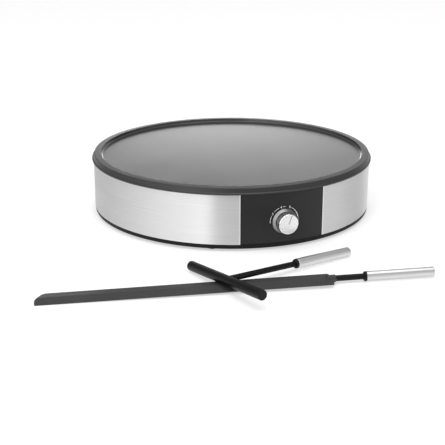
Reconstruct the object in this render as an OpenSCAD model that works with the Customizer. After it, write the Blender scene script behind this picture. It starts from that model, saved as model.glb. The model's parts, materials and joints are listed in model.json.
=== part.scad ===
// Electric crepe maker with its batter spreader and its long spatula.
// Units are millimetres and +Z is up. The control panel faces -Y, the surface
// it stands on is z = 0, and the origin is the middle of the set's footprint.

/* [Cooking plate] */
// Widest diameter of the cooking plate, at its lower lip
lip_d = 340; // [330:1:350]
// Height of the plate's rim above the steel band
rim_h = 7.4; // [6.5:0.1:10]
// Width of the rim's flat top face
rim_w = 8.5; // [6:0.5:12]
// Step from the lower lip in to the side of the rim
rim_step = 1.1; // [0.5:0.1:2]
// Depth of the cooking surface below the rim
dish_h = 3.8; // [3:0.1:5]
// Thickness of the plate under the cooking surface
plate_t = 5.5; // [4:0.5:7]
// Rounding where the dish meets its wall
dish_fillet = 2; // [1:0.1:2.5]
// Height of the flange that locates the plate inside the steel band
flange_h = 6; // [4:0.5:8]

/* [Heating] */
// Radius of the heating element's ring
element_r = 98; // [90:1:104]
// Diameter of the heating element's tube
element_d = 6.5; // [6:0.1:8]
// Half of the angle left open between the element's two ends
element_gap_a = 12; // [10:1:16]
// Thickness of the ribs cast on both sides of the element
rib_w = 2.5; // [2:0.1:4]
// Diameter of the sleeve on each end of the element
leg_d = 8.4; // [8.2:0.1:9]
// Outer radius of the heat shield
shield_r = 148; // [144:1:152]
// Thickness of the heat shield's sheet
shield_t = 0.8; // [0.6:0.1:1.2]
// Height of the heat shield's upturned rim
shield_rim_h = 6; // [4:0.5:8]
// Number of air holes in the heat shield
shield_holes = 24; // [12:1:30]

/* [Body] */
// Height of the steel band
band_h = 57; // [56:1:70]
// Thickness of the steel band
band_t = 0.5; // [0.4:0.1:0.8]
// How far the plate's lip stands out beyond the band
lip_overhang = 1.7; // [1:0.1:2.5]
// Depth of the fold at each end of the band
band_fold = 2.4; // [1.5:0.1:3]
// Height of the base's visible edge below the band
base_h = 5.3; // [4:0.1:7]
// Thickness of the base's floor
floor_t = 2.4; // [2:0.1:3]
// Thickness of the base's upstand inside the band
upstand_t = 2.5; // [2:0.1:3]
// Height of the base's upstand above its ledge
upstand_h = 6; // [4:0.5:8]
// Number of air slots in the base's floor
slots = 32; // [16:4:36]
// Radius of the ring of air slots
slot_ring_r = 72; // [68:1:76]
// Length of each air slot
slot_l = 26; // [20:1:34]
// Width of each air slot
slot_w = 3; // [2.5:0.1:4]

/* [Control panel] */
// Half of the angle that the control panel spans
panel_a = 17; // [16:0.5:20]
// Thickness of the control panel
panel_t = 2.5; // [2:0.1:3]
// How far the control panel lies behind the band's face
panel_inset = 0.4; // [0.2:0.1:0.8]
// Height of the knob's axis above the floor
knob_z = 32; // [31:0.5:34]
// Diameter of the knob
knob_d = 22.6; // [22:0.1:24]
// How far the knob's face stands in front of the panel
knob_reach = 12.6; // [11:0.1:16]
// Rounding of the knob's front edge
knob_fillet = 0.8; // [0.4:0.1:1.2]
// Outer diameter of the ring around the knob
ring_d = 28.4; // [27.5:0.1:29]
// How far the ring's front lip stands in front of the panel
ring_reach = 3.7; // [3:0.1:8]
// Height of the ring's straight side in front of the panel
ring_side = 0.8; // [0.5:0.1:1.5]
// Thickness of the ring's front lip
ring_lip = 0.3; // [0.2:0.1:1]
// Gap between the knob and the ring
ring_gap = 0.45; // [0.3:0.05:0.5]
// Angle of the off mark, clockwise from the top
off_mark_a = 20; // [0:1:40]

/* [Thermostat] */
// Diameter of the thermostat's spindle
spindle_d = 6; // [5:0.1:6.5]
// Depth of the flat on the spindle's end
spindle_flat = 1.2; // [0.8:0.1:1.6]
// Diameter of the bush that guides the spindle
bush_d = 9; // [8.5:0.1:9.5]
// Width of the thermostat's body
stat_w = 46; // [46:1:50]
// Height of the thermostat's body
stat_h = 28; // [26:1:30]
// Depth of the thermostat's body
stat_l = 24; // [20:1:28]
// Width of the thermostat's bracket
bracket_w = 62; // [60:1:64]
// Diameter of the sensor bulb
bulb_d = 5; // [4:0.1:6]
// Length of the sensor bulb
bulb_l = 60; // [40:1:70]
// Diameter of the capillary tube
capillary_d = 1.8; // [1.5:0.1:2]

/* [Wiring] */
// Diameter of the insulated wires
wire_d = 2.6; // [2:0.1:3]
// Height of the wires' run above the floor
wire_z = 14; // [12:0.5:16]
// How far to the side the live wire runs
wire_x = 56; // [54:1:58]
// Straight length and step of a wire near each of its ends
wire_bend = 10; // [9:0.5:11]
// Diameter of the thermal fuse
fuse_d = 6; // [5:0.1:7]
// Length of the thermal fuse
fuse_l = 28; // [24:1:32]
// Width of the terminal block
block_w = 30; // [28:1:34]
// Bore of the cord gland
gland_bore = 8; // [7:0.1:9]
// Outer diameter of the cord gland's barrel
gland_d = 13; // [12:0.1:14]
// Height of the cord gland above the floor
gland_z = 25; // [24:0.5:32]

/* [Feet] */
// Height of the base above the floor
foot_h = 2.5; // [2:0.1:4]
// Diameter of each rubber foot
foot_d = 12; // [10:0.5:12]
// Distance of the feet from the axis of the appliance
foot_r = 156; // [150:1:157]
// Angle of each foot from the front or the rear
foot_a = 28; // [24:1:34]

/* [Fastenings] */
// Distance of the four long screws from the axis of the appliance
post_r = 128; // [122:1:132]
// Diameter of the long screws that tie base, shield and plate together
tie_d = 3.9; // [3.5:0.1:4.2]
// Outer diameter of the base's screw posts
post_d = 14; // [13:0.5:16]
// Height of the base's screw posts above the floor
post_top = 26; // [20:1:30]
// Diameter of the small screws
screw_d = 2.9; // [2.5:0.1:3]

/* [Spatula] */
// Length of the blade
blade_l = 295.5; // [270:0.5:310]
// Width of the blade at its handle end
blade_w = 27.5; // [24:0.5:34]
// Width of the blade near its tip
tip_w = 26; // [22:0.5:28]
// Length of the bare rod between the blade and its collar
neck_l = 33.6; // [26:0.1:45]
// Thickness along the blade's middle ridge
blade_t = 2.6; // [2.6:0.1:3.2]
// Thickness at the blade's edges
edge_t = 1.3; // [1:0.1:1.6]
// Diameter of the blade's socket for its rod
socket_d = 7.8; // [7.6:0.1:9]

/* [Spreader] */
// Length of the spreader's bar
bar_l = 125; // [90:1:128]
// Diameter of the spreader's bar
bar_d = 10.5; // [9.5:0.1:12]
// Where the bar lies across the spatula, from the blade's tip
cross_l = 187; // [150:0.5:200]
// How far the middle of the bar lies in front of the blade's ridge
cross_out = 0.2; // [0:0.1:5]
// Length of the rod from the bar's axis to its collar
stem_l = 88; // [80:1:100]

/* [Handles] */
// Diameter of both steel handles
handle_d = 10.5; // [9.5:0.1:12]
// Length of both steel handles
handle_l = 71; // [60:1:75]
// Wall thickness of the handles' steel tube
handle_t = 0.8; // [0.6:0.1:1]
// Rounding of the handles' outer end
handle_round = 1; // [0.4:0.1:1.5]
// Diameter of the rods between the handles and the heads
rod_d = 6.2; // [5.5:0.1:7]
// Length of the black collar in front of each handle
collar_l = 2.7; // [2.5:0.1:5]
// How far each rod reaches into its handle
rod_in_handle = 14; // [10:0.5:20]

/* [Hidden] */
$fn = 96;
eps = 0.01;      // overlap that keeps a cut clear of the face it starts on
slip = 0.1;      // gap on each side of a piece that is put in by hand
snug = 0.05;     // gap on each side of a piece that turns or is pressed in
rest_gap = 0.3;  // gap under a piece that only lies on another
floor_gap = 0.05; // gap under the hand tools where they touch the floor
end_gap = 0.2;   // gap between a wire's end and its terminal

// Colours
black = [0.10, 0.10, 0.11];
cast_grey = [0.33, 0.33, 0.34];
steel = [0.78, 0.79, 0.80];
zinc = [0.62, 0.63, 0.65];
ceramic = [0.93, 0.92, 0.88];
rubber = [0.06, 0.06, 0.06];
brass = [0.80, 0.66, 0.36];

// Heights, from the floor up
floor_z = foot_h + floor_t;
ledge_z = foot_h + base_h;
lip_z = ledge_z + band_h;
rim_z = lip_z + rim_h;
cook_z = rim_z - dish_h;
under_z = cook_z - plate_t;
element_z = under_z - element_d/2 - slip;
rib_z = element_z - element_d/2;
shield_gap = 4;
shield_z = rib_z - shield_gap;
shield_low_z = shield_z - shield_t;
leg_drop = 3.2;
leg_z = shield_z - leg_drop;
bead_h = 4;
tab_h = 8;
tab_w = 6.3;
tab_t = 0.8;
shield_hole_r = 78;
shield_hole_d = 7;
plate_boss_d = 12;
bulb_boss_d = 7;
pillar_d = 9;

// Radii, from the rim in
lip_r = lip_d/2;
rim_r = lip_r - rim_step;
rim_top_r = rim_r - 1.4;
dish_r = rim_top_r - rim_w;
band_r = lip_r - lip_overhang;
band_in = band_r - band_t;
flange_r = band_in - 0.5;
flange_in = flange_r - 3.5;
base_r = band_r - 0.4;
upstand_r = band_in - rest_gap;
upstand_in = upstand_r - upstand_t;
ledge_in = upstand_in - 0.5;
panel_r = band_r - panel_inset;
panel_in = panel_r - panel_t;
notch_a = panel_a + 1;

// Distances in front of the appliance's axis, along the knob's own axis
knob_face = panel_r + knob_reach;
ring_face = panel_r + ring_reach;
cup_l = 7.9;
cup_t = 2;
cup_floor = panel_r - cup_l;
cup_back = cup_floor - cup_t;
cup_d = ring_d + 2*cup_t;
knob_back = cup_floor + 1.2;
core_back = knob_back + 0.3;
flat_from = cup_floor + 4;
bracket_t = 1.5;
bracket_front = cup_back - 2.2;
bracket_foot_l = 16;
stat_front = bracket_front - bracket_t;
stat_back = stat_front - stat_l;
stat_boss_l = 4;
stat_boss_d = 20;
stat_tab_l = 8;
stat_tab_x = 12;
bush_front = cup_floor + 0.6;
bush_back = stat_front - 3;
spindle_back = bush_back - 12;
spindle_front = knob_face - 4;

// The knob's inner sizes
cap_t = 0.8;
core_d = knob_d - 2*cap_t - 2*snug;
core_t = 1.6;
core_l = knob_face - cap_t - snug - core_back;
hub_d = 10;
pointer_w = 0.8;
pointer_from = 0.3;
pointer_l = knob_d/2 - knob_fillet - 2*snug - pointer_from;
pointer_t = 0.3;

// Places of the small parts
block_y = 118;
block_l = 18;
block_h = 13;
block_ear = [10, 8, 2.5];
block_ear_z = floor_z + 2;
block_screw_y = block_y + block_l/2 + block_ear.y/2;
block_pitch = 9;
fuse_at = [60, -8];
fuse_z = shield_low_z - fuse_d/2 - slip;
fuse_ear_x = fuse_d/2 + 7;
bulb_at = [0, -52];
bulb_z = under_z - bulb_d/2 - slip;
bulb_ear_y = bulb_d/2 + 6;
bulb_seat_z = under_z - bulb_d/2;
clip_t = 1;
capillary_at = bulb_at - [bulb_l/2 + 1.5*wire_bend, 2];
shield_earth = [0, 46];
tag_t = 0.8;
tag_l = 12;
stat_screw_x = cup_d/2 + 3.6;
foot_screw_x = bracket_w/2 - 4;
foot_screw_y = 9 - stat_front;
bracket_z = knob_z - stat_h/2 - 4;
panel_post_x = 38;
panel_post_z = 24;
panel_post_w = 8;
panel_post_t = 5;
panel_boss_back = cup_back - 2;
panel_boss_d = 7;
stem_d = 6;
screw_head_d = 2*screw_d;
screw_head_h = 0.75*screw_d;
tie_head_d = 2*tie_d;
tie_head_h = 3;
tie_seat_z = foot_h + 5.5;
tie_end_z = under_z - 1.5;

// Ends of the wires
block_in = block_y - block_l/2 + 4;
block_wire_z = floor_z + 5;
tab_x = element_r*sin(element_gap_a);
tab_y = -element_r*cos(element_gap_a);
tab_z = leg_z - bead_h - tab_h - end_gap;
stat_tab_y = -stat_back + stat_tab_l + end_gap;
stat_tab_z = knob_z - 6;
function out_of_block(x) = [for (y = [0, -wire_bend]) [x, block_in + y, block_wire_z]];
function onto_tab(x) = [for (z = [-wire_bend, 0]) [x, tab_y, tab_z + z]];

// Cord gland
gland_l = 14;
gland_lip = 2.6;
gland_flange_d = gland_d + 5;

// How the spatula lies: blade tip and the handle's front edge touch the floor
tip_at = [-284.2, -219.6];
spatula_a = -11.05;
handle_r = handle_d/2;
rod_axis_z = blade_t/2;
collar_x = blade_l + neck_l;
handle_x = collar_x + collar_l;
spatula_pitch = asin((handle_r - rod_axis_z)/handle_x);
socket_in = 4.5;
socket_out = 4;
root_l = 5;
root_w = 16;
rod_from = blade_l - socket_in + 1;
plug_l = 8;
plug_dome = 0.8;

// How the spreader lies: its bar on the blade's ridge and its two far ends down
spreader_a = 14.9;
bar_r = bar_d/2;
spreader_at = tip_at + cross_l*[cos(spatula_a), sin(spatula_a)]
              + cross_out*[sin(spatula_a), -cos(spatula_a)];
ridge_z = cross_l*sin(spatula_pitch) + blade_t + floor_gap;
spreader_roll = asin(ridge_z/(bar_l/2 - cross_out));
bar_z = ridge_z + rest_gap + bar_r + cross_out*sin(spreader_roll);
spreader_l = stem_l + collar_l + handle_l;
spreader_pitch = asin((bar_z - handle_r - floor_gap)/spreader_l);

// Middle of the set's footprint, measured from the appliance's axis
set_left = tip_at.x + tip_w/2*sin(spatula_a);
set_right = lip_r;
set_front = spreader_at.y - bar_l/2*cos(spreader_a) - (bar_r - 1)*sin(spreader_a);
set_back = band_r + gland_lip;
axis_at = [-(set_left + set_right)/2, -(set_front + set_back)/2, 0];

// Points on an arc, for profiles
function arc(c, r, a0, a1, n = 6) =
    [for (i = [0:n]) c + r*[cos(a0 + (a1 - a0)*i/n), sin(a0 + (a1 - a0)*i/n)]];

// A route with each of its inner corners rounded into a curve
function corner(a, b, c, t) = (1 - t)*(1 - t)*(a + b)/2 + 2*t*(1 - t)*b + t*t*(b + c)/2;
function rounded(p, n = 4) =
    concat([p[0]], [for (i = [1:len(p) - 2]) for (k = [0:n - 1]) corner(p[i - 1], p[i], p[i + 1], k/n)],
           [(p[len(p) - 2] + p[len(p) - 1])/2, p[len(p) - 1]]);
function unit(v) = v/norm(v);

// Moves from the set's origin to the appliance's own axis
module at_appliance() {
    translate(axis_at) children();
}

// Turns +Z to the front, at a distance in front of the axis and a height
module facing_front(x, distance, z) {
    translate([x, -distance, z]) rotate([90, 0, 0]) children();
}

// A tube with an outer and an inner diameter
module tube(outer, inner, h) {
    difference() {
        cylinder(d = outer, h = h);
        translate([0, 0, -eps]) cylinder(d = inner, h = h + 2*eps);
    }
}

// A round wire swept along a route
module wire(points, d, sides = 8) {
    path = rounded(points);
    n = len(path);
    across = [0.36, 0.48, 0.80];
    rings = [for (i = [0:n - 1])
        let (t = unit(path[min(i + 1, n - 1)] - path[max(i - 1, 0)]),
             u = unit(cross(across, t)), v = cross(t, u))
        for (k = [0:sides - 1])
            path[i] + d/2*(cos(360*k/sides)*u + sin(360*k/sides)*v)];
    walls = [for (i = [0:n - 2]) for (k = [0:sides - 1])
        let (j = (k + 1) % sides, a = i*sides, b = (i + 1)*sides)
        for (half = [[a + k, b + k, b + j], [a + k, b + j, a + j]]) half];
    ends = [[for (k = [0:sides - 1]) k],
            [for (k = [sides - 1:-1:0]) (n - 1)*sides + k]];
    polyhedron(rings, concat(walls, ends), convexity = 6);
}

// A cross-headed screw: shank along +Z, seat of the head at z = 0
module screw(d, l, head_d, head_h) {
    difference() {
        union() {
            cylinder(d = d, h = l);
            translate([0, 0, -head_h*0.6]) cylinder(d = head_d, h = head_h*0.6);
            translate([0, 0, -head_h])
                cylinder(d1 = head_d*0.7, d2 = head_d, h = head_h*0.4 + eps);
        }
        for (a = [0, 90]) rotate([0, 0, a])
            translate([-head_d*0.28, -head_d*0.07, -head_h - eps])
                cube([head_d*0.56, head_d*0.14, head_h*0.5]);
    }
}

// Places of the four tie screws
module at_posts() {
    for (a = [45:90:315]) rotate([0, 0, a]) translate([post_r, 0, 0]) children();
}

// Cooking plate -----------------------------------------------------------

module plate_body() {
    edge = 1.1;
    bead = 1.4;
    rotate_extrude($fn = 180) polygon(concat(
        [[0, under_z], [flange_in - 2, under_z], [flange_in, under_z - 1.4],
         [flange_in, lip_z - flange_h + 0.8], [flange_in + 0.8, lip_z - flange_h],
         [flange_r - 0.8, lip_z - flange_h], [flange_r, lip_z - flange_h + 0.8],
         [flange_r, lip_z], [lip_r - 0.5, lip_z], [lip_r, lip_z + 0.5],
         [lip_r, lip_z + 1.7], [rim_r, lip_z + 2.4]],
        arc([rim_top_r - edge, rim_z - edge - 0.1], edge, 0, 90, 4),
        arc([dish_r + bead/2, rim_z - 0.45], bead/2, 70, 180, 5),
        [[dish_r - 0.3, cook_z + dish_fillet]],
        arc([dish_r - 0.3 - dish_fillet, cook_z + dish_fillet], dish_fillet, 0, -90, 5),
        [[0, cook_z]]));
}

module element_ribs() {
    for (r = [element_r - element_d/2 - slip - rib_w, element_r + element_d/2 + slip])
        rotate_extrude($fn = 180) translate([r, rib_z])
            square([rib_w, under_z - rib_z + eps]);
}

module griddle_plate() {
    color(cast_grey) at_appliance() difference() {
        union() {
            plate_body();
            element_ribs();
            at_posts() translate([0, 0, shield_z])
                cylinder(d = plate_boss_d, h = under_z - shield_z + 1);
            for (s = [-1, 1]) translate([bulb_at.x, bulb_at.y + s*bulb_ear_y, bulb_seat_z])
                cylinder(d = bulb_boss_d, h = bulb_d/2 + 1);
        }
        at_posts() translate([0, 0, shield_z - eps])
            cylinder(d = tie_d + 2*slip, h = tie_end_z - shield_z + 0.5);
        for (s = [-1, 1])
            translate([bulb_at.x, bulb_at.y + s*bulb_ear_y, bulb_seat_z - eps])
                cylinder(d = screw_d + 2*snug, h = 5);
        element_gate();
        rotate([0, 0, -90 - notch_a]) rotate_extrude(angle = 2*notch_a, $fn = 180)
            translate([panel_in - rest_gap, lip_z - flange_h - 1])
                square([flange_r - panel_in + 2, flange_h + 1]);
    }
}

// Opening in the ribs that lets the element's ends come down
module element_gate() {
    for (s = [-1, 1]) rotate([0, 0, -90 + s*element_gap_a]) translate([element_r, 0, rib_z - eps])
        cylinder(d = leg_d + 2*slip + 0.6, h = under_z - rib_z);
}

// Heating -----------------------------------------------------------------

module at_element_ends() {
    for (s = [-1, 1]) rotate([0, 0, -90 + s*element_gap_a]) translate([element_r, 0, 0]) children();
}

module heating_element() {
    color(zinc) at_appliance() {
        rotate([0, 0, -90 + element_gap_a])
            rotate_extrude(angle = 360 - 2*element_gap_a, $fn = 180)
                translate([element_r, element_z]) circle(d = element_d, $fn = 48);
        at_element_ends() translate([0, 0, leg_z])
            cylinder(d = leg_d, h = element_z + element_d/2 - 0.2 - leg_z);
    }
}

module element_beads() {
    color(ceramic) at_appliance() at_element_ends() translate([0, 0, leg_z - bead_h])
        difference() {
            union() {
                cylinder(d = leg_d - 1, h = bead_h);
                translate([0, 0, bead_h - 1.5]) cylinder(d = leg_d, h = 1.5);
            }
            translate([0, 0, -eps]) cylinder(d = 2.7, h = bead_h + 2*eps);
        }
}

module element_tabs() {
    color(steel) at_appliance() at_element_ends() {
        translate([0, 0, leg_z - bead_h]) cylinder(d = 2.6, h = bead_h);
        translate([-tab_t/2, -tab_w/2, leg_z - bead_h - tab_h]) difference() {
            cube([tab_t, tab_w, tab_h]);
            translate([-eps, tab_w/2, tab_h/2]) rotate([0, 90, 0]) cylinder(d = 1.8, h = tab_t + 1);
        }
    }
}

module heat_shield() {
    z0 = shield_low_z;
    color(zinc) at_appliance() difference() {
        rotate_extrude($fn = 180) polygon([
            [0, z0], [shield_r - 1, z0], [shield_r, z0 + 1], [shield_r, z0 + shield_rim_h],
            [shield_r - shield_t, z0 + shield_rim_h], [shield_r - shield_t, z0 + 1.3],
            [shield_r - 1.3, shield_z], [0, shield_z]]);
        at_posts() translate([0, 0, z0 - eps]) cylinder(d = tie_d + 0.6, h = shield_t + 2*eps);
        at_element_ends() translate([0, 0, z0 - eps])
            cylinder(d = leg_d + 3, h = shield_t + 2*eps);
        translate([capillary_at.x, capillary_at.y, z0 - eps]) cylinder(d = 6, h = shield_t + 2*eps);
        translate([shield_earth.x, shield_earth.y, z0 - eps])
            cylinder(d = screw_d + 2*snug, h = shield_t + 2*eps);
        translate([fuse_at.x + fuse_ear_x, fuse_at.y, z0 - eps])
            cylinder(d = screw_d + 2*snug, h = shield_t + 2*eps);
        for (i = [0:shield_holes - 1])
            rotate([0, 0, 360*(i + 0.5)/shield_holes]) translate([shield_hole_r, 0, z0 - eps])
                cylinder(d = shield_hole_d, h = shield_t + 2*eps);
    }
}

module shield_pillars() {
    color(zinc) at_appliance() at_posts() translate([0, 0, post_top])
        tube(pillar_d, tie_d + 0.6, shield_low_z - post_top);
}

module tie_screws() {
    color(zinc) at_appliance() at_posts() translate([0, 0, tie_seat_z])
        screw(tie_d, tie_end_z - tie_seat_z, tie_head_d, tie_head_h);
}

// Body --------------------------------------------------------------------

// The open ring of the band: a roll-formed strip whose two ends fold inward
module steel_band() {
    fold_a = atan(band_t/band_r);
    open_a = panel_a + 2*fold_a;
    color(steel) at_appliance() difference() {
        union() {
            rotate([0, 0, open_a - 90])
                rotate_extrude(angle = 360 - 2*open_a, $fn = 180)
                    translate([band_in, ledge_z]) square([band_t, band_h]);
            for (s = [0, 1]) mirror([s, 0, 0])
                rotate([0, 0, open_a - 90]) translate([band_r - band_fold, 0, ledge_z])
                    cube([band_fold - 0.1, band_t, band_h]);
        }
        translate([0, band_r + 2, gland_z]) rotate([90, 0, 0])
            cylinder(d = gland_d + 2*slip, h = 10);
    }
}

module control_panel() {
    z0 = ledge_z;
    h = band_h - 0.3;
    edge_a = 0.2;
    panel_boss_l = sqrt(pow(panel_in, 2) - pow(panel_post_x + panel_boss_d/2, 2))
                   - panel_boss_back + 0.8;
    color(black) at_appliance() {
        difference() {
            union() {
                rotate([0, 0, -90 - panel_a + edge_a])
                    rotate_extrude(angle = 2*(panel_a - edge_a), $fn = 180)
                        polygon([[panel_in, z0], [panel_r - 0.4, z0], [panel_r, z0 + 0.4],
                                 [panel_r, z0 + h - 0.4], [panel_r - 0.4, z0 + h],
                                 [panel_in, z0 + h]]);
                facing_front(0, cup_back, knob_z)
                    cylinder(d = cup_d, h = panel_in - cup_back + 0.5);
                for (s = [-1, 1]) facing_front(s*panel_post_x, panel_boss_back, panel_post_z)
                    cylinder(d = panel_boss_d, h = panel_boss_l);
            }
            facing_front(0, cup_floor, knob_z) cylinder(d = ring_d + 2*snug, h = 20);
            facing_front(0, cup_back - eps, knob_z) cylinder(d = bush_d + 0.6, h = 5);
            for (s = [-1, 1]) facing_front(s*panel_post_x, panel_boss_back - eps, panel_post_z)
                cylinder(d = screw_d + 2*snug, h = 5.5);
        }
    }
}

// Ring around the knob: a turned sleeve whose bezel slopes in to a thin front lip
module dial_ring() {
    h = ring_face - cup_floor;
    r = ring_d/2;
    bore = knob_d/2 + ring_gap;
    edge = ring_lip/2;
    slope_from = cup_l + ring_side;
    color(steel) at_appliance() facing_front(0, cup_floor, knob_z)
        rotate_extrude($fn = 120) polygon([
            [bore, 0], [r, 0], [r, slope_from], [bore + ring_lip, h - edge],
            [bore + edge, h], [bore, h]]);
}

module at_feet() {
    for (a = [-90 - foot_a, -90 + foot_a, 90 - foot_a, 90 + foot_a])
        rotate([0, 0, a]) translate([foot_r, 0, 0]) children();
}

module base_shell() {
    rotate_extrude($fn = 180) polygon([
        [0, foot_h], [base_r - 1.6, foot_h], [base_r - 0.5, foot_h + 0.5],
        [base_r, foot_h + 1.6], [base_r, ledge_z], [ledge_in, ledge_z],
        [ledge_in, floor_z], [0, floor_z]]);
}

// The wall inside the steel band, left open behind the control panel
module upstand() {
    open_a = panel_a + 2;
    rotate([0, 0, open_a - 90]) rotate_extrude(angle = 360 - 2*open_a, $fn = 180)
        polygon([[upstand_in, ledge_z - 1], [upstand_r, ledge_z - 1],
                 [upstand_r, ledge_z + upstand_h - 1], [upstand_r - 1, ledge_z + upstand_h],
                 [upstand_in, ledge_z + upstand_h]]);
}

module air_slots() {
    for (i = [0:slots - 1]) rotate([0, 0, 360*(i + 0.5)/slots])
        translate([slot_ring_r - slot_l/2, 0, foot_h - eps]) {
            translate([0, -slot_w/2, 0]) cube([slot_l, slot_w, floor_t + 2*eps]);
            for (x = [0, slot_l]) translate([x, 0, 0])
                cylinder(d = slot_w, h = floor_t + 2*eps, $fn = 24);
        }
}

module base_tray() {
    post_h = panel_post_z + panel_post_w/2 - floor_z;
    color(black) at_appliance() difference() {
        union() {
            difference() {
                base_shell();
                air_slots();
            }
            upstand();
            at_posts() translate([0, 0, floor_z - 1])
                cylinder(d = post_d, h = post_top - floor_z + 1);
            at_posts() for (a = [0, 120, 240]) rotate([0, 0, a])
                translate([post_d/2 - 1, -0.8, floor_z - 1]) cube([5, 1.6, 12]);
            for (s = [-1, 1]) translate([s*panel_post_x - panel_post_w/2,
                                         -panel_boss_back, floor_z - 1])
                cube([panel_post_w, panel_post_t, post_h + 1]);
            for (s = [-1, 1]) translate([s*foot_screw_x, foot_screw_y, floor_z - 1])
                cylinder(d = 8, h = bracket_z - floor_z + 1);
            translate([0, block_screw_y, floor_z - 1]) cylinder(d = 7, h = 3);
            rotate_extrude($fn = 180)
                translate([slot_ring_r + slot_l/2 + 4, floor_z - 1]) square([1.6, 3]);
        }
        at_posts() translate([0, 0, foot_h - eps]) {
            cylinder(d = tie_head_d + 1, h = tie_seat_z - foot_h + eps);
            cylinder(d = tie_d + 0.6, h = 60);
        }
        at_feet() translate([0, 0, foot_h - eps]) cylinder(d = stem_d + 2*snug, h = 10);
        for (s = [-1, 1]) facing_front(s*panel_post_x, panel_boss_back - 20, panel_post_z)
            cylinder(d = screw_d + 2*slip, h = 30);
        for (s = [-1, 1]) translate([s*foot_screw_x, foot_screw_y, bracket_z - 6])
            cylinder(d = screw_d + 2*snug, h = 10);
        translate([0, block_screw_y, floor_z - 1.2]) cylinder(d = screw_d + 2*snug, h = 10);
    }
}

// Rubber foot: a disc under the base with a stem pushed through its floor
module foot(a) {
    color(rubber) at_appliance() rotate([0, 0, a]) translate([foot_r, 0, 0])
        rotate_extrude($fn = 64) polygon([
            [0, 0], [foot_d/2 - 0.8, 0], [foot_d/2, 0.8], [foot_d/2, foot_h],
            [stem_d/2, foot_h], [stem_d/2, floor_z + 0.1], [stem_d/2 + 0.7, floor_z + 0.4],
            [stem_d/2 + 0.5, floor_z + 1.6], [stem_d/2 - 1, floor_z + 2.8], [0, floor_z + 2.8]]);
}
module foot_front_left() { foot(-90 - foot_a); }
module foot_front_right() { foot(-90 + foot_a); }
module foot_rear_left() { foot(90 + foot_a); }
module foot_rear_right() { foot(90 - foot_a); }

module panel_screws() {
    color(zinc) at_appliance() for (s = [-1, 1])
        facing_front(s*panel_post_x, panel_boss_back - panel_post_t, panel_post_z)
            screw(screw_d, panel_post_t + 5, screw_head_d, screw_head_h);
}

// Thermostat --------------------------------------------------------------

module thermostat_body() {
    color(black) at_appliance() difference() {
        union() {
            translate([-stat_w/2, -stat_front, knob_z - stat_h/2]) cube([stat_w, stat_l, stat_h]);
            facing_front(0, stat_back - stat_boss_l, knob_z) cylinder(d = stat_boss_d, h = stat_boss_l + 1);
        }
        facing_front(0, bush_back, knob_z) cylinder(d = bush_d + 2*snug, h = 20);
        facing_front(0, spindle_back - 0.5, knob_z) cylinder(d = spindle_d + 2*snug, h = 40);
        for (s = [-1, 1]) facing_front(s*stat_screw_x, stat_front - 7, knob_z)
            cylinder(d = screw_d + 2*snug, h = 10);
    }
    color(brass) at_appliance() for (s = [-1, 1])
        translate([s*stat_tab_x - tab_t/2, -stat_back - eps, knob_z - 9])
            cube([tab_t, stat_tab_l, tab_w]);
}

module thermostat_bush() {
    color(brass) at_appliance() facing_front(0, bush_back, knob_z)
        tube(bush_d, spindle_d + 2*snug, bush_front - bush_back);
}

module thermostat_bracket() {
    h = stat_h + 8;
    color(zinc) at_appliance() difference() {
        union() {
            translate([-bracket_w/2, -bracket_front, bracket_z]) cube([bracket_w, bracket_t, h]);
            translate([-bracket_w/2, -bracket_front, bracket_z])
                cube([bracket_w, bracket_foot_l, bracket_t]);
        }
        facing_front(0, stat_front - eps, knob_z) cylinder(d = bush_d + 2*slip, h = 5);
        for (s = [-1, 1]) {
            facing_front(s*stat_screw_x, stat_front - eps, knob_z)
                cylinder(d = screw_d + 2*slip, h = 5);
            translate([s*foot_screw_x, foot_screw_y, bracket_z - eps])
                cylinder(d = screw_d + 2*slip, h = 5);
        }
        translate([0, foot_screw_y, bracket_z - eps]) cylinder(d = stat_boss_d, h = 5);
    }
}

module thermostat_screws() {
    color(zinc) at_appliance() for (s = [-1, 1])
        translate([s*stat_screw_x, -bracket_front, knob_z]) rotate([-90, 0, 0])
            screw(screw_d, bracket_t + 6, screw_head_d*0.9, 2);
}

module bracket_screws() {
    color(zinc) at_appliance() for (s = [-1, 1])
        translate([s*foot_screw_x, foot_screw_y, bracket_z + bracket_t]) rotate([180, 0, 0])
            screw(screw_d, bracket_t + 5, screw_head_d, screw_head_h);
}

module sensor_bulb() {
    color(brass) at_appliance() translate([bulb_at.x - bulb_l/2, bulb_at.y, bulb_z])
        rotate([0, 90, 0]) {
            cylinder(d = bulb_d, h = bulb_l - 1.5);
            translate([0, 0, bulb_l - 1.5]) cylinder(d1 = bulb_d, d2 = bulb_d - 2, h = 1.5);
        }
}

// Saddle strap across the bulb, screwed to two bosses under the plate
module bulb_clip() {
    l = 8;
    w = 2*bulb_ear_y + l;
    saddle_w = bulb_d + 2*slip + 2*clip_t;
    z0 = bulb_z - bulb_d/2 - slip - clip_t;
    ear_z = bulb_seat_z - clip_t;
    color(zinc) at_appliance() translate([bulb_at.x, bulb_at.y, 0]) difference() {
        union() {
            translate([-l/2, -w/2, ear_z]) cube([l, w, clip_t]);
            translate([-l/2, -saddle_w/2, z0]) cube([l, saddle_w, bulb_seat_z - z0]);
        }
        translate([-l/2 - 1, 0, bulb_z]) rotate([0, 90, 0]) cylinder(d = bulb_d + 2*slip, h = l + 2);
        for (s = [-1, 1]) translate([0, s*bulb_ear_y, ear_z - eps])
            cylinder(d = screw_d + 2*slip, h = 2*clip_t);
    }
}

module bulb_clip_screws() {
    color(zinc) at_appliance() for (s = [-1, 1])
        translate([bulb_at.x, bulb_at.y + s*bulb_ear_y, bulb_seat_z - clip_t])
            screw(screw_d, 5, screw_head_d, screw_head_h);
}

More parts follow.
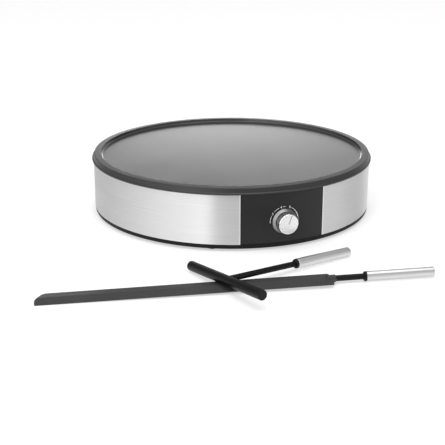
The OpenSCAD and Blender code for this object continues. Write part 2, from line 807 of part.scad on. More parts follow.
module capillary_tube() {
    x0 = bulb_at.x - bulb_l/2 - end_gap;
    y1 = -stat_back + stat_boss_l + end_gap;
    color(brass) at_appliance() wire([
        [x0, bulb_at.y, bulb_z], [x0 - 0.8*wire_bend, bulb_at.y, bulb_z],
        [capillary_at.x, capillary_at.y, shield_z + shield_gap],
        [capillary_at.x, capillary_at.y, shield_z - 0.8*wire_bend],
        [capillary_at.x/2, capillary_at.y - 1.4*wire_bend, knob_z + 0.8*wire_bend],
        [0, y1 + 4*wire_bend, knob_z + 0.8*wire_bend],
        [0, y1 + 0.8*wire_bend, knob_z], [0, y1, knob_z]], capillary_d);
}

// Wiring ------------------------------------------------------------------

module thermal_fuse() {
    color(ceramic) at_appliance()
        translate([fuse_at.x, fuse_at.y + fuse_l/2, fuse_z])
            rotate([90, 0, 0]) rotate_extrude($fn = 48) polygon([
                [0, 0], [fuse_d/2 - 1.2, 0], [fuse_d/2, 1.2], [fuse_d/2, fuse_l - 1.2],
                [fuse_d/2 - 1.2, fuse_l], [0, fuse_l]]);
}

// Strap that holds the fuse against the heat shield, with its ear at one side
module fuse_clip() {
    l = 10;
    w = fuse_d + 3*clip_t;
    z0 = fuse_z - fuse_d/2 - slip - 1.2*clip_t;
    color(zinc) at_appliance() translate([fuse_at.x, fuse_at.y, 0]) difference() {
        union() {
            translate([-w/2, -l/2, z0]) cube([w, l, shield_low_z - z0]);
            translate([w/2 - 1, -l/2, shield_low_z - clip_t])
                cube([fuse_ear_x + l/2 - w/2, l, clip_t]);
        }
        translate([0, l/2 + 1, fuse_z]) rotate([90, 0, 0])
            cylinder(d = fuse_d + 2*slip, h = l + 2);
        translate([-fuse_d/3, -l/2 - 1, fuse_z]) cube([fuse_d*2/3, l + 2, fuse_d]);
        translate([fuse_ear_x, 0, shield_low_z - 2*clip_t])
            cylinder(d = screw_d + 2*slip, h = 3*clip_t);
    }
}

module fuse_clip_screw() {
    color(zinc) at_appliance()
        translate([fuse_at.x + fuse_ear_x, fuse_at.y, shield_low_z - clip_t])
            screw(screw_d, shield_t + 3, screw_head_d, screw_head_h);
}

module terminal_block() {
    color(ceramic) at_appliance() difference() {
        union() {
            translate([-block_w/2, block_y - block_l/2, floor_z]) cube([block_w, block_l, block_h]);
            translate([-block_ear.x/2, block_y + block_l/2 - 1, block_ear_z])
                cube(block_ear + [0, 1, 0]);
        }
        for (i = [-1:1]) {
            translate([i*block_pitch, block_y - block_l/2 - 1, block_wire_z]) rotate([-90, 0, 0])
                cylinder(d = 4, h = block_l + 2);
            translate([i*block_pitch, block_y, block_wire_z]) cylinder(d = 3.6, h = block_h);
        }
        translate([0, block_screw_y, floor_z]) cylinder(d = screw_d + 2*slip, h = 10);
    }
    color(brass) at_appliance() for (i = [-1:1])
        translate([i*block_pitch, block_y + block_l/2 - 2, block_wire_z]) rotate([90, 0, 0])
            tube(4, 3, block_l - 4);
}

module block_screw() {
    color(zinc) at_appliance() translate([0, block_screw_y, block_ear_z + block_ear.z])
        rotate([180, 0, 0]) screw(screw_d, 5, screw_head_d*0.9, screw_head_h*0.9);
}

module earth_tag() {
    color(brass) at_appliance() translate([shield_earth.x, shield_earth.y, shield_low_z - tag_t])
        difference() {
            union() {
                cylinder(d = 8, h = tag_t);
                translate([-2, 0, 0]) cube([4, tag_l, tag_t]);
            }
            translate([0, 0, -eps]) cylinder(d = screw_d + 2*slip, h = tag_t + 1);
        }
}

module earth_screw() {
    color(zinc) at_appliance()
        translate([shield_earth.x, shield_earth.y, shield_low_z - tag_t])
            screw(screw_d, shield_t + 3, screw_head_d, screw_head_h);
}

// Each route starts or ends in the terminal block or on a tab
module live_wire() {
    color([0.45, 0.27, 0.15]) at_appliance() wire(concat(out_of_block(-block_pitch), [
        [-0.6*wire_x, block_in - 4.3*wire_bend, wire_z], [-wire_x, 0, wire_z],
        [-0.9*wire_x, tab_y + 1.2*wire_bend, wire_z],
        [-stat_w/2 - 0.7*wire_bend, stat_tab_y + 1.4*wire_bend, stat_tab_z - 0.6*wire_bend],
        [-stat_tab_x, stat_tab_y + 1.2*wire_bend, stat_tab_z],
        [-stat_tab_x, stat_tab_y, stat_tab_z]]), wire_d);
}

module switched_wire() {
    color(black) at_appliance() wire(concat([
        [stat_tab_x, stat_tab_y, stat_tab_z],
        [stat_tab_x, stat_tab_y + 0.8*wire_bend, stat_tab_z],
        [0.4*wire_bend, tab_y + 0.2*wire_bend, stat_tab_z - 1.2*wire_bend],
        [-tab_x, tab_y + 0.6*wire_bend, stat_tab_z - 0.8*wire_bend]],
        onto_tab(-tab_x)), wire_d);
}

module neutral_wire() {
    y1 = fuse_at.y + fuse_l/2 + end_gap;
    color([0.20, 0.35, 0.70]) at_appliance() wire(concat(out_of_block(block_pitch), [
        [fuse_at.x - 2*wire_bend, block_in - 3.7*wire_bend, wire_z],
        [fuse_at.x + 0.2*wire_bend, block_in - 6.1*wire_bend, wire_z + 1.2*wire_bend],
        [fuse_at.x, y1 + 2.4*wire_bend, fuse_z - 0.8*wire_bend],
        [fuse_at.x, y1 + wire_bend, fuse_z], [fuse_at.x, y1, fuse_z]]), wire_d);
}

module fuse_wire() {
    y0 = fuse_at.y - fuse_l/2 - end_gap;
    color([0.20, 0.35, 0.70]) at_appliance() wire(concat([
        [fuse_at.x, y0, fuse_z], [fuse_at.x, y0 - wire_bend, fuse_z],
        [fuse_at.x - wire_bend, y0 - 4*wire_bend, fuse_z - 1.2*wire_bend],
        [tab_x + 1.2*wire_bend, tab_y + wire_bend, tab_z - 1.2*wire_bend]],
        onto_tab(tab_x)), wire_d);
}

module earth_wire() {
    y1 = shield_earth.y + tag_l + end_gap;
    z1 = shield_low_z - wire_d/2 - slip;
    color([0.35, 0.60, 0.25]) at_appliance() wire(concat(out_of_block(0), [
        [-0.8*wire_bend, block_in - 2.3*wire_bend, wire_z + 0.8*wire_bend],
        [-0.4*wire_bend, y1 + 1.8*wire_bend, z1 - 0.6*wire_bend],
        [0, y1 + 0.8*wire_bend, z1], [0, y1, z1]]), wire_d);
}

// Cord inlet: a bush through the band's rear with its nut inside
module cord_gland() {
    color(black) at_appliance() translate([0, band_r, gland_z]) rotate([-90, 0, 0])
        difference() {
            rotate_extrude($fn = 96) polygon([
                [0, -gland_l], [gland_d/2, -gland_l], [gland_d/2, slip], [gland_flange_d/2, slip],
                [gland_flange_d/2, gland_lip - 1], [gland_flange_d/2 - 1, gland_lip], [0, gland_lip]]);
            translate([0, 0, -gland_l - 1]) cylinder(d = gland_bore, h = gland_l + gland_lip + 2);
        }
}

module gland_nut() {
    inside = sqrt(pow(band_in, 2) - pow(gland_d/2 + 3, 2)) - band_r;
    color(black) at_appliance() translate([0, band_r, gland_z]) rotate([-90, 0, 0])
        difference() {
            translate([0, 0, inside - 4.1]) cylinder(d = gland_d + 6, h = 4, $fn = 6);
            translate([0, 0, -15]) cylinder(d = gland_d + 2*snug, h = 20);
        }
}

// Knob --------------------------------------------------------------------

module d_bore(d, flat, h) {
    difference() {
        cylinder(d = d, h = h);
        translate([-d, d/2 - flat, -eps]) cube([2*d, d, h + 2*eps]);
    }
}

module turned_to_off() {
    rotate([0, 0, -off_mark_a]) children();
}

module thermostat_spindle() {
    color(brass) at_appliance() facing_front(0, spindle_back, knob_z) turned_to_off()
        difference() {
            cylinder(d = spindle_d, h = spindle_front - spindle_back);
            translate([-spindle_d, spindle_d/2 - spindle_flat, flat_from - spindle_back])
                cube([2*spindle_d, spindle_d, spindle_front - flat_from + 1]);
        }
}

module knob_core() {
    color(black) at_appliance() facing_front(0, core_back, knob_z) turned_to_off()
        difference() {
            union() {
                tube(core_d, core_d - 2*core_t, core_l);
                cylinder(d = hub_d, h = core_l);
                translate([0, 0, core_l - 2]) cylinder(d = core_d, h = 2);
                for (a = [45:90:315]) rotate([0, 0, a]) translate([hub_d/2 - 1, -0.6, 3.5])
                    cube([core_d/2 - hub_d/2, 1.2, core_l - 4]);
            }
            translate([0, 0, -eps])
                d_bore(spindle_d + 2*snug, spindle_flat, spindle_front - core_back + 0.5);
            translate([-spindle_d, -spindle_d, -eps])
                cube([2*spindle_d, 2*spindle_d, flat_from - core_back + 0.3]);
        }
}

// Spring clip that grips the hub round the spindle
module knob_clip() {
    color(steel) at_appliance() facing_front(0, flat_from + 0.6, knob_z) turned_to_off()
        rotate([0, 0, 55]) rotate_extrude(angle = 70) translate([hub_d/2 + slip, 0])
            square([0.6, 2.6]);
}

module knob_cap() {
    r = knob_d/2;
    h = knob_face - knob_back;
    f = knob_fillet;
    color(steel) at_appliance() facing_front(0, knob_back, knob_z) difference() {
        rotate_extrude($fn = 120) polygon(concat(
            [[r - cap_t, 0], [r, 0]],
            arc([r - f, h - f], f, 0, 90, 5),
            [[0, h], [0, h - cap_t], [r - cap_t, h - cap_t]]));
        turned_to_off() translate([-pointer_w/2 - snug, pointer_from - snug, h - pointer_t])
            cube([pointer_w + 2*snug, pointer_l + 2*snug, 1]);
    }
}

module knob_pointer() {
    color(black) at_appliance() facing_front(0, knob_face - pointer_t, knob_z) turned_to_off()
        translate([-pointer_w/2, pointer_from, 0]) cube([pointer_w, pointer_l, pointer_t + 0.05]);
}

// Hand tools --------------------------------------------------------------
// Each tool is drawn along +X and then laid down.

module lay_spatula() {
    at_appliance() translate([tip_at.x, tip_at.y, floor_gap]) rotate([0, 0, spatula_a])
        rotate([0, -spatula_pitch, 0]) children();
}

// The blade's outline: a square and a swept corner, tapered sides and a root
module blade_outline() {
    w = tip_w/2;
    end_w = blade_w/2;
    sweep = 12.5;
    turn = 6.5;
    polygon(concat(
        [[0.8, -w], [0, -w + 1], [0, -w*0.36]],
        arc([sweep, w - turn], turn, 155, 90),
        [[blade_l - 1.4, end_w], [blade_l, end_w - 1.8], [blade_l, root_w/2],
         [blade_l + root_l, rod_d/2 + 0.4], [blade_l + root_l, -rod_d/2 - 0.4],
         [blade_l, -root_w/2], [blade_l, -end_w + 1], [blade_l - 1, -end_w]]));
}

// The blade's section: flat below, with a low ridge along the middle
module blade_section() {
    w = blade_w/2 + 2;
    slope = (blade_t - edge_t)/(blade_w/2);
    polygon([[-w, 0], [w, 0], [w, blade_t - slope*w], [0, blade_t], [-w, blade_t - slope*w]]);
}

module spatula_blade() {
    color(black) lay_spatula() difference() {
        union() {
            intersection() {
                linear_extrude(height = blade_t + 1) blade_outline();
                rotate([90, 0, 90]) linear_extrude(height = blade_l + root_l) blade_section();
            }
            on_spatula_axis(blade_l - socket_in - 1) {
                cylinder(d1 = socket_d - 2, d2 = socket_d, h = 1);
                translate([0, 0, 1]) cylinder(d = socket_d, h = socket_in + socket_out);
            }
        }
        on_spatula_axis(rod_from) cylinder(d = rod_d + 2*snug, h = neck_l);
    }
}

module on_spatula_axis(x) {
    translate([x, 0, rod_axis_z]) rotate([0, 90, 0]) children();
}

// Rod with three grooves in front of its collar
module rod(l) {
    groove = 0.35;
    difference() {
        cylinder(d = rod_d, h = l, $fn = 64);
        for (i = [0:2]) translate([0, 0, l - rod_in_handle - collar_l - 2 - 1.8*i])
            tube(rod_d + 1, rod_d - 2*groove, 0.7);
    }
}

module collar() {
    r = handle_r - 0.2;
    spigot = handle_r - handle_t - 0.4;
    l = collar_l + rod_in_handle - 1;
    difference() {
        rotate_extrude($fn = 64) polygon([
            [0, 0], [r - 1, 0], [r, 0.8], [r, collar_l], [spigot, collar_l], [spigot, l], [0, l]]);
        translate([0, 0, -1]) cylinder(d = rod_d + 2*snug, h = l + 2);
    }
}

module handle() {
    r = handle_r;
    e = min(handle_round, handle_t*0.8);
    rotate_extrude($fn = 96) polygon(concat(
        [[r - handle_t, 0], [r - 0.2, 0], [r, 0.2]],
        arc([r - e, handle_l - e], e, 0, 90, 4), [[r - handle_t, handle_l]]));
}

module plug() {
    r = handle_r - handle_t - snug;
    rotate_extrude($fn = 96) polygon(concat(
        [[0, handle_l - plug_l], [r - 0.6, handle_l - plug_l], [r, handle_l - plug_l + 1]],
        [for (a = [0:15:75]) [r*cos(a), handle_l + plug_dome*sin(a)]],
        [[0, handle_l + plug_dome]]));
}

module spatula_rod() {
    color(black) lay_spatula() on_spatula_axis(rod_from) rod(handle_x + rod_in_handle - rod_from);
}

module spatula_collar() {
    color(black) lay_spatula() on_spatula_axis(collar_x) collar();
}

module spatula_handle() {
    color(steel) lay_spatula() on_spatula_axis(handle_x) handle();
}

module spatula_plug() {
    color(steel) lay_spatula() on_spatula_axis(handle_x) plug();
}

module lay_spreader() {
    at_appliance() translate([spreader_at.x, spreader_at.y, bar_z]) rotate([0, 0, spreader_a])
        rotate([0, spreader_pitch, 0]) rotate([-spreader_roll, 0, 0]) children();
}

module spreader_bar() {
    r = bar_d/2;
    color(black) lay_spreader() difference() {
        rotate([90, 0, 0]) translate([0, 0, -bar_l/2]) rotate_extrude($fn = 96)
            polygon(concat([[0, 0]], arc([r - 1, 1], 1, -90, 0, 4),
                           arc([r - 1, bar_l - 1], 1, 0, 90, 4), [[0, bar_l]]));
        rotate([0, 90, 0]) translate([0, 0, -1]) cylinder(d = rod_d + 2*snug, h = bar_d);
    }
}

module spreader_rod() {
    color(black) lay_spreader() translate([-0.9, 0, 0]) rotate([0, 90, 0])
        rod(stem_l + collar_l + rod_in_handle + 0.9);
}

module spreader_collar() {
    color(black) lay_spreader() translate([stem_l, 0, 0]) rotate([0, 90, 0]) collar();
}

module spreader_handle() {
    color(steel) lay_spreader() translate([stem_l + collar_l, 0, 0])
        rotate([0, 90, 0]) handle();
}

module spreader_plug() {
    color(steel) lay_spreader() translate([stem_l + collar_l, 0, 0])
        rotate([0, 90, 0]) plug();
}

griddle_plate();
heating_element();
element_beads();
element_tabs();
heat_shield();
shield_pillars();
steel_band();
control_panel();
dial_ring();
base_tray();
foot_front_left();
foot_front_right();
foot_rear_left();
foot_rear_right();
tie_screws();
panel_screws();
thermostat_body();
thermostat_bush();
thermostat_bracket();
thermostat_screws();
bracket_screws();
sensor_bulb();
bulb_clip();
bulb_clip_screws();
capillary_tube();
thermal_fuse();
fuse_clip();
fuse_clip_screw();
terminal_block();
block_screw();
earth_tag();
earth_screw();
live_wire();
switched_wire();
neutral_wire();
fuse_wire();
earth_wire();
cord_gland();
gland_nut();
thermostat_spindle();
knob_core();
knob_clip();
knob_cap();
knob_pointer();
spatula_blade();
spatula_rod();
spatula_collar();
spatula_handle();
spatula_plug();
spreader_bar();
spreader_rod();
spreader_collar();
spreader_handle();
spreader_plug();
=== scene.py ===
# %% [markdown] # A crepe maker and its two hand tools The solids of this
# appliance come from a CAD model. Each is already at its real size and place,
# so nothing here moves or resizes them. What this lesson adds is what the CAD
# model lacks: the finish of every surface, the hemmed ends of the steel band,
# the printed dial, the light and the camera.

# %% Load the solids
import json
import math

import bpy
from mathutils import Euler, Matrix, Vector


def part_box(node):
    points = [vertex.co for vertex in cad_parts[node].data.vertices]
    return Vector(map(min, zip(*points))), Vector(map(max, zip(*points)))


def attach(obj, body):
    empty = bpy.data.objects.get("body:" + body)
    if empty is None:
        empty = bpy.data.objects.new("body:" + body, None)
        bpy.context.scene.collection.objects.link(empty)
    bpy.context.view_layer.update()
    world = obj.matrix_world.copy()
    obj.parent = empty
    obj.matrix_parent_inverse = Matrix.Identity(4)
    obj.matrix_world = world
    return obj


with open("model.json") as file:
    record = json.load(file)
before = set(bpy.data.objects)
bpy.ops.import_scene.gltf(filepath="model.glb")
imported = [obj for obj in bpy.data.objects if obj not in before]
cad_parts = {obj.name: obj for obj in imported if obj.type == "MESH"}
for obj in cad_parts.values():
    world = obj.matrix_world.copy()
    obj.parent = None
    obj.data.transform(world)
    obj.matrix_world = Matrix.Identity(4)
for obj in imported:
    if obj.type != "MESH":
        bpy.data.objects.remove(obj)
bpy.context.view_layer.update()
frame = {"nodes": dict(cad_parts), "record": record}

# %% [markdown]
# ## Where things are
# Every measure is in metres. The plate is round, so the middle of its box is
# the axis of the whole appliance, and most patterns below turn round that
# axis. These places could be typed in, but then a change of the part would
# leave them behind. Read from the solids, they follow it.

# %% Places read from the solids
MM = 0.001


def middle(node):
    low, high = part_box(node)
    return (low + high) / 2


def round_radius(node):
    """Half the width of a round solid."""
    low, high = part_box(node)
    return (high.x - low.x) / 2


AXIS = middle("griddle_plate")
KNOB = middle("knob_cap")
PLATE_R = round_radius("griddle_plate")
RING_R = round_radius("dial_ring")
BAND_R = round_radius("steel_band")
BAND_LOW, BAND_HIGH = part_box("steel_band")
PANEL_R = AXIS.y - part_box("control_panel")[0].y
print("axis", tuple(round(v, 4) for v in AXIS), "plate radius", round(PLATE_R, 4))
print("band radius", round(BAND_R, 4), "panel radius", round(PANEL_R, 4))

# %% [markdown]
# ## The camera
# A camera could be placed by eye in the viewport. Here its place and turn are
# numbers, so that the same picture comes out each time. A long lens from about
# a metre away keeps the ellipse of the plate calm, as in catalogue pictures.
# The camera stands to the left of the control panel and looks down a little,
# so both the plate's surface and the knob show.

# %% Camera
LENS = 81.69
SENSOR_WIDTH = 36
CAMERA_FROM_AXIS = Vector((-417.25, -1127.96, 390.33)) * MM
LOOK_RIGHT = 19.78
LOOK_DOWN = 19.02

camera_data = bpy.data.cameras.new("camera")
camera_data.lens = LENS
camera_data.sensor_width = SENSOR_WIDTH
camera = bpy.data.objects.new("camera", camera_data)
camera.location = Vector((AXIS.x, AXIS.y, 0)) + CAMERA_FROM_AXIS
camera.rotation_euler = Euler((math.radians(90 - LOOK_DOWN), 0, math.radians(-LOOK_RIGHT)))
bpy.context.scene.collection.objects.link(camera)
bpy.context.scene.camera = camera
print("camera at", tuple(round(v, 3) for v in camera.location))

# %% [markdown]
# ## Node trees that read like maths
# Materials, the studio's light and Geometry Nodes are all graphs of small
# nodes. Wiring each one by hand hides the idea behind it, so this class wraps
# one output socket and lets Python's own operators add the Math nodes:
# `1 - mask * 0.2` builds two of them. Each operator also has its reflected
# form, which Python calls when the plain number stands first. The one method
# `node` makes every other kind of node: it takes the type, the settings, and
# what goes into its sockets.
#
# A Mix node holds a set of sockets for each type of data. Three of them serve
# colours, and because their names repeat they are reached by number.

# %% A socket that can be calculated with
MIX_COLOUR_A, MIX_COLOUR_B, MIX_COLOUR_RESULT = 6, 7, 2


class Field:
    """A value that changes over a surface: one output socket of a node tree."""

    def __init__(self, tree, socket=None):
        self.tree = tree
        self.socket = socket

    def node(self, kind, settings=None, inputs=None, output=0):
        """Adds a node: its settings first, then numbers or Fields for its inputs."""
        made = self.tree.nodes.new(kind)
        for key, value in (settings or {}).items():
            setattr(made, key, value)
        for key, value in (inputs or {}).items():
            fields = value if isinstance(value, list) else [value]
            for field in fields:
                if isinstance(field, Field):
                    self.tree.links.new(field.socket, made.inputs[key])
                else:
                    made.inputs[key].default_value = field
        return Field(self.tree, made.outputs[output] if made.outputs else None)

    def math(self, operation, a, b=0.0):
        return self.node("ShaderNodeMath", {"operation": operation}, {0: a, 1: b})

    def __add__(self, other):
        return self.math("ADD", self, other)

    def __sub__(self, other):
        return self.math("SUBTRACT", self, other)

    def __rsub__(self, other):
        return self.math("SUBTRACT", other, self)

    def __mul__(self, other):
        return self.math("MULTIPLY", self, other)

    def __truediv__(self, other):
        return self.math("DIVIDE", self, other)

    def __rtruediv__(self, other):
        return self.math("DIVIDE", other, self)

    def __pow__(self, other):
        return self.math("POWER", self, other)

    def __rpow__(self, other):
        return self.math("POWER", other, self)

    __radd__ = __add__
    __rmul__ = __mul__

    def sin(self):
        return self.math("SINE", self)

    def cos(self):
        return self.math("COSINE", self)

    def within(self, low, high):
        """0 below low, 1 above high and a smooth rise between them."""
        settings = {"interpolation_type": "SMOOTHSTEP"}
        inputs = {"Value": self, "From Min": low, "From Max": high, "To Min": 0.0, "To Max": 1.0}
        return self.node("ShaderNodeMapRange", settings, inputs)

    def blend(self, a, b):
        """Colour a where this field is 0 and colour b where it is 1."""
        inputs = {0: self, MIX_COLOUR_A: a, MIX_COLOUR_B: b}
        return self.node("ShaderNodeMix", {"data_type": "RGBA"}, inputs, MIX_COLOUR_RESULT)

    def split(self):
        """The x, y and z of a vector field."""
        outputs = self.node("ShaderNodeSeparateXYZ", None, {0: self}).socket.node.outputs
        return [Field(self.tree, outputs[i]) for i in range(3)]

    def join(self, x, y, z):
        return self.node("ShaderNodeCombineXYZ", None, {0: x, 1: y, 2: z})

    def away(self):
        """Distance of a vector field from the Z axis, and the field's x, y and z."""
        x, y, z = self.split()
        return (x * x + y * y) ** 0.5, x, y, z


print("a Field can:", ", ".join(sorted(name for name in vars(Field) if name[0] != "_")))

# %% [markdown]
# ## Coordinates that follow a turned part
# Rings run round a turned plate, so their pattern needs the distance from the
# plate's axis. An image wrapped on the part would need unwrapping first, and
# would blur up close. Noise on object coordinates needs neither. Each solid's
# object sits at the origin, so these coordinates are the same metres as
# everywhere else in this file, and they stay with the part when it moves.
#
# The angle round the axis is left out on purpose. It jumps from +180 to -180
# degrees on one side, and a pattern that reads it shows a seam there.
#
# Noise lies between 0 and 1, but it seldom leaves the middle of that span. A
# colour that follows it therefore stretches the middle, with `within`, and a
# roughness that should keep its average has the noise's mean taken off.

# %% Object coordinates and noise on them
NOISE_MEAN = 0.5


def grey(tone, warmth=0.0):
    """A colour of one brightness, a touch warmer or cooler than neutral."""
    return (tone * (1 + warmth), tone, tone * (1 - warmth), 1.0)


class Surface(Field):
    """The start of one material's tree, with the coordinates that its patterns need."""

    def __init__(self, name):
        self.material = bpy.data.materials.new(name)
        self.material.use_nodes = True
        self.material.node_tree.nodes.clear()
        super().__init__(self.material.node_tree)
        self.place = self.node("ShaderNodeTexCoord", output="Object")

    def about(self, centre, turn=(0.0, 0.0, 0.0)):
        """Coordinates measured from a point, turned so that an axis can be used as +Z."""
        shift = {"Vector": self.place, "Location": tuple(-centre)}
        moved = self.node("ShaderNodeMapping", None, shift)
        return self.node("ShaderNodeMapping", None, {"Vector": moved, "Rotation": turn})

    def noise(self, vector, scale, detail=2.0):
        inputs = {"Vector": vector, "Scale": scale, "Detail": detail}
        return self.node("ShaderNodeTexNoise", None, inputs)

    def bump(self, height, distance, strength):
        inputs = {"Height": height, "Distance": distance, "Strength": strength}
        return self.node("ShaderNodeBump", None, inputs)

    def finish(self, inputs):
        """Puts one Principled shader on the tree and returns the material."""
        shader = self.node("ShaderNodeBsdfPrincipled", None, inputs)
        self.node("ShaderNodeOutputMaterial", None, {"Surface": shader})
        print("material", self.material.name, "with", len(self.tree.nodes), "nodes")
        return self.material


print("a Surface adds:", ", ".join(sorted(name for name in vars(Surface) if name[0] != "_")))

# %% [markdown]
# ## The cooking plate's coating
# The plate is cast aluminium under a dark non-stick coat. The coat is sprayed,
# so it is not perfectly smooth: it has a fine grain that spreads reflections
# wide, and faint rings left by the turned metal below it. Batter is spread on
# the dish, which is turned smooth first. The rim is sprayed as it was cast, so
# it stays rougher, and it is a little darker.
#
# Seen at a low angle such a coat looks much lighter than it is, and more so
# towards the back. A gradient could be painted on, but it would be wrong from
# every other side. The shader's own Fresnel reflection does it right.

# %% Coated casting
COAT_GRAIN = 0.35 * MM
CLOUD_SIZE = 60 * MM
RING_PITCH = 0.9 * MM
RING_LENGTH = 90 * MM
RIM_WIDTH = 11 * MM
RIM_BLUR = 0.5 * MM
COAT_DARK, COAT_LIGHT, RIM_TONE = 0.031, 0.044, 0.014
DISH_ROUGHNESS, RIM_ROUGHER = 0.13, 0.23
CLOUD_ROUGHER, RINGS_ROUGHER = 0.06, 0.05
COAT_IOR = 1.55
RINGS_TO_GRAIN = 0.6
COAT_RELIEF, COAT_BUMP = 0.006 * MM, 0.5

coat = Surface("coated_casting")
radius, x, y, z = coat.about(AXIS).away()
grain = coat.noise(coat.place, 1 / COAT_GRAIN)
cloud = coat.noise(coat.place, 1 / CLOUD_SIZE)
ring_place = coat.join(radius / RING_PITCH, x / RING_LENGTH, y / RING_LENGTH)
rings = coat.noise(ring_place, 1.0, detail=1.0)
dish_r = PLATE_R - RIM_WIDTH
rim = radius.within(dish_r - RIM_BLUR, dish_r + RIM_BLUR)
sprayed = grain.within(0.3, 0.7).blend(grey(COAT_DARK), grey(COAT_LIGHT))
roughness = DISH_ROUGHNESS + RIM_ROUGHER * rim
COATED = coat.finish({
    "Base Color": rim.blend(sprayed, grey(RIM_TONE)),
    "Roughness": roughness + CLOUD_ROUGHER * cloud + RINGS_ROUGHER * rings,
    "IOR": COAT_IOR,
    "Normal": coat.bump(grain + RINGS_TO_GRAIN * rings, COAT_RELIEF, COAT_BUMP),
})

# %% [markdown]
# ## Brushed steel
# Sheet steel is brushed in one direction, and the scratches are far longer
# than they are wide. An image of scratches would repeat, so a noise stretched
# along the brushing gives them: it varies the roughness a little, and a very
# low bump makes highlights streaky. A second, softer noise keeps the sheet
# from looking too even.
#
# The scratches also spread reflections across them and leave them sharp along
# them, so a lamp beside the band shows as a tall light stripe. That is what
# the shader's Anisotropic number does. Without more, it would stretch
# highlights round the band, so they are given a quarter turn. The band's hems
# get a lighter steel than the band: a painted highlight, for the bright line
# along each end. The knob
# and its ring are turned on a lathe: they have the same marks, but no stripe.
#
# On a lathe-turned face every point has the same height, so height alone
# would leave it plain. The marks are therefore read along a slope: the height
# plus a share of the radius.

# %% Steel that is brushed round an axis
BRUSH_WIDTH = 0.22 * MM
BRUSH_LENGTH = 40 * MM
SOFT_WIDTH = 6 * MM
SOFT_LENGTH = 100 * MM
RADIUS_SHARE = 1.7
MARK_DARKER, MARK_LIGHTER = 0.93, 1.05
MARKS_ROUGHER, SOFT_ROUGHER = 0.10, 0.05
BRUSH_RELIEF, BRUSH_BUMP = 0.004 * MM, 0.4
QUARTER_TURN = 0.25


def brushed_round(name, centre, turn, tone, roughness, anisotropic):
    """Metal with brush marks that run round an axis through centre."""
    metal = Surface(name)
    radius, x, y, z = metal.about(centre, turn).away()
    across = z + RADIUS_SHARE * radius
    fine = metal.join(x / BRUSH_LENGTH, y / BRUSH_LENGTH, across / BRUSH_WIDTH)
    marks = metal.noise(fine, 1.0, detail=3.0)
    broad = metal.join(x / SOFT_LENGTH, y / SOFT_LENGTH, across / SOFT_WIDTH)
    soft = metal.noise(broad, 1.0, detail=1.0)
    dark, light = grey(tone * MARK_DARKER), grey(tone * MARK_LIGHTER)
    rougher = roughness + MARKS_ROUGHER * (marks - NOISE_MEAN)
    return metal.finish({
        "Base Color": marks.within(0.25, 0.75).blend(dark, light),
        "Metallic": 1.0,
        "Roughness": rougher + SOFT_ROUGHER * (soft - NOISE_MEAN),
        "Anisotropic": anisotropic,
        "Anisotropic Rotation": QUARTER_TURN,
        "Normal": metal.bump(marks, BRUSH_RELIEF, BRUSH_BUMP),
    })


UPRIGHT = (0, 0, 0)
ALONG_KNOB = (math.radians(90), 0, 0)
# name, centre, turn, tone, roughness, anisotropic
BAND_STEEL = brushed_round("satin_band_steel", AXIS, UPRIGHT, 0.81, 0.45, 1.0)
# The hems' steel is lighter than the band's: a painted highlight for the bright line along each
# end.
HEM_HIGHLIGHT_STEEL = brushed_round("hem_steel", AXIS, UPRIGHT, 0.98, 0.40, 1.0)
TURNED = brushed_round("knob_aluminium", KNOB, ALONG_KNOB, 0.99, 0.26, 0.0)
RING_METAL = brushed_round("ring_aluminium", KNOB, ALONG_KNOB, 0.33, 0.36, 0.0)

# %% [markdown]
# ## The handles' steel
# The two handles are steel tubes, ground along their length. They lie at
# their own angles, so the marks need each tube's own axis. The angles could be
# copied from the CAD model by hand. It is safer to find them from the mesh:
# the points farthest from a handle's middle lie on one of its ends, and the
# line from the middle to that end is the axis.

# %% Steel that is brushed along a tube
END_SPREAD = 11 * MM
TUBE_DARKER, TUBE_LIGHTER = 0.92, 1.06
TUBE_ROUGHER = 0.12


def tube_axis(handle):
    """The middle of a lying handle and the turn that lays its axis along Z."""
    points = [v.co for v in frame["nodes"][handle].data.vertices]
    centre = middle(handle)
    far = max(points, key=lambda p: (p - centre).length)
    ends = [p for p in points if (p - far).length < END_SPREAD]
    along = (sum(ends, Vector()) / len(ends) - centre).normalized()
    print(handle, "lies along", tuple(round(v, 3) for v in along))
    return centre, along.rotation_difference(Vector((0, 0, 1))).to_euler()


def brushed_along(name, handle, tone, roughness):
    """Metal with brush marks that run along a tube."""
    centre, turn = tube_axis(handle)
    metal = Surface(name)
    x, y, z = metal.about(centre, tuple(turn)).split()
    fine = metal.join(x / BRUSH_WIDTH, y / BRUSH_WIDTH, z / BRUSH_LENGTH)
    marks = metal.noise(fine, 1.0, detail=3.0)
    dark, light = grey(tone * TUBE_DARKER), grey(tone * TUBE_LIGHTER)
    return metal.finish({
        "Base Color": marks.within(0.3, 0.7).blend(dark, light),
        "Metallic": 1.0,
        "Roughness": roughness + TUBE_ROUGHER * (marks - NOISE_MEAN),
        "Normal": metal.bump(marks, BRUSH_RELIEF, BRUSH_BUMP),
    })


# name, handle, tone, roughness
SPATULA_STEEL = brushed_along("spatula_tube_steel", "spatula_handle", 0.66, 0.34)
SPREADER_STEEL = brushed_along("spreader_tube_steel", "spreader_handle", 0.66, 0.34)

# %% [markdown]
# ## Dark mouldings
# The panel, the base and the tools are moulded plastic. A mould is etched, so
# the surface has a fine even texture that keeps it from looking wet. The
# texture could be real geometry, but at a fiftieth of a millimetre a bump is
# enough. Patches and grain can only add to the roughness, so about as much is
# taken off again. The specular level is the strength of the plastic's own
# gloss: the panel and the tools have very little, which keeps them dark under
# a bright room. Phenolic and ceramic are a touch warm, which is their last
# number.

# %% Moulded plastics and rubber
PATCH_SIZE = 35 * MM
PATCH_DARKER, PATCH_LIGHTER = 0.9, 1.1
PATCH_ROUGHER, GRAIN_ROUGHER, SMOOTHER = 0.08, 0.05, 0.06
MOULD_BUMP = 0.5


